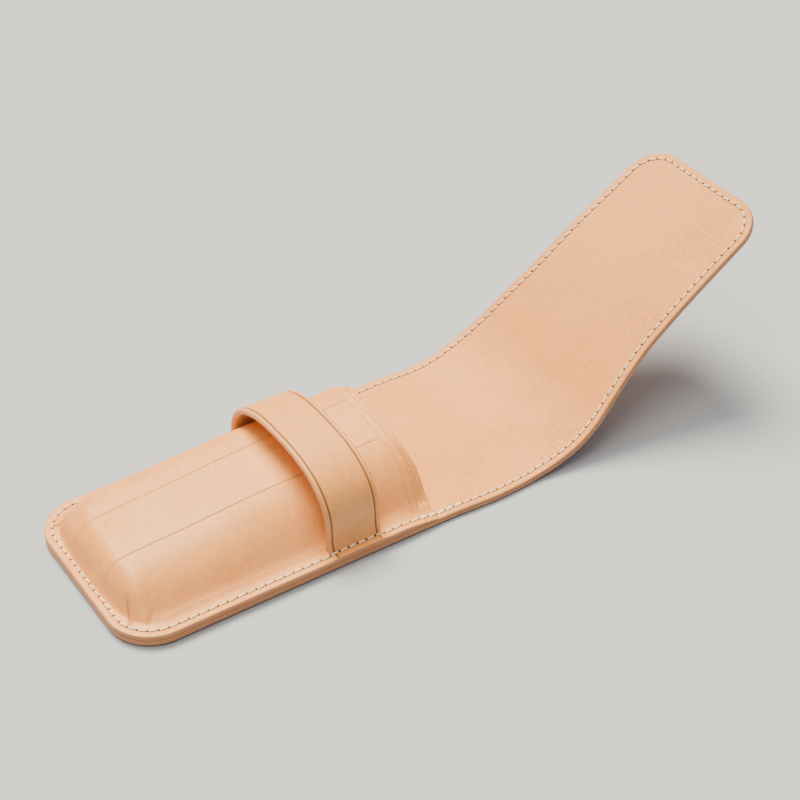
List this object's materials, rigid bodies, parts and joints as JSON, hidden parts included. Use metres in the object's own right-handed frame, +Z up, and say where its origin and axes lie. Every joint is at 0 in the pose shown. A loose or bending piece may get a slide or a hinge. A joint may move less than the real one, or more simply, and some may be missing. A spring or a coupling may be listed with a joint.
{
  "type": "pen case",
  "caption": "Moulded leather pocket case for fountain pens, with a sewn rim, dividers, a retaining strap over its front and a long rounded flap that folds over the mouth.",
  "frame": {"origin": "on the back face, midway across the case and 60 mm forward of its bottom edge", "axes": "+X to the case's right as it lies on its back, +Y from the bottom end to the flap, +Z up, out of the moulded front"},
  "size_m": [0.0784, 0.2675, 0.0705],
  "materials": {
    "outer_leather": "smooth natural vegetable-tanned leather, satin",
    "lining_leather": "matt natural leather lining with a fine fibrous grain",
    "moulded_leather": "smooth wet-moulded natural leather, satin",
    "moulded_lining": "smooth natural leather, satin",
    "divider_leather": "matt natural leather",
    "strap_leather": "smooth natural leather with creased borders and burnished edges",
    "thread": "waxed off-white thread"
  },
  "bodies": {
    "case": {"back_panel": "outer_leather", "back_lining": "lining_leather", "front_panel": "moulded_leather", "front_lining": "moulded_lining", "divider_left": "divider_leather", "divider_right": "divider_leather", "strap": "strap_leather", "stitching_left": "thread", "stitching_right": "thread"},
    "flap_1": {"flap_1_outer": "outer_leather", "flap_1_lining": "lining_leather", "flap_1_stitching": "thread"},
    "flap_2": {"flap_2_outer": "outer_leather", "flap_2_lining": "lining_leather", "flap_2_stitching": "thread"},
    "flap_3": {"flap_3_outer": "outer_leather", "flap_3_lining": "lining_leather", "flap_3_stitching": "thread"},
    "flap_4": {"flap_4_outer": "outer_leather", "flap_4_lining": "lining_leather", "flap_4_stitching": "thread"},
    "flap_5": {"flap_5_outer": "outer_leather", "flap_5_lining": "lining_leather", "flap_5_stitching": "thread"},
    "flap_6": {"flap_6_outer": "outer_leather", "flap_6_lining": "lining_leather", "flap_6_stitching": "thread"}
  },
  "joints": [
    {"name": "fold_1", "type": "hinge", "parent": "case", "child": "flap_1", "pos_m": [0, 0.10371, 0.00341], "axis": [1, 0, 0], "range_deg": [-5, 24]},
    {"name": "fold_2", "type": "hinge", "parent": "flap_1", "child": "flap_2", "pos_m": [0, 0.11205, 0.0055], "axis": [1, 0, 0], "range_deg": [-5, 24]},
    {"name": "fold_3", "type": "hinge", "parent": "flap_2", "child": "flap_3", "pos_m": [0, 0.11997, 0.00883], "axis": [1, 0, 0], "range_deg": [-5, 24]},
    {"name": "fold_4", "type": "hinge", "parent": "flap_3", "child": "flap_4", "pos_m": [0, 0.1273, 0.01333], "axis": [1, 0, 0], "range_deg": [-5, 24]},
    {"name": "fold_5", "type": "hinge", "parent": "flap_4", "child": "flap_5", "pos_m": [0, 0.13396, 0.01892], "axis": [1, 0, 0], "range_deg": [-5, 24]},
    {"name": "fold_6", "type": "hinge", "parent": "flap_5", "child": "flap_6", "pos_m": [0, 0.14075, 0.02494], "axis": [1, 0, 0], "range_deg": [-5, 24]}
  ],
  "couplings": [
    {"joint": "fold_2", "follows": "fold_1", "ratio": 1},
    {"joint": "fold_3", "follows": "fold_1", "ratio": 1},
    {"joint": "fold_4", "follows": "fold_1", "ratio": 1},
    {"joint": "fold_5", "follows": "fold_1", "ratio": 1},
    {"joint": "fold_6", "follows": "fold_1", "ratio": 1}
  ]
}
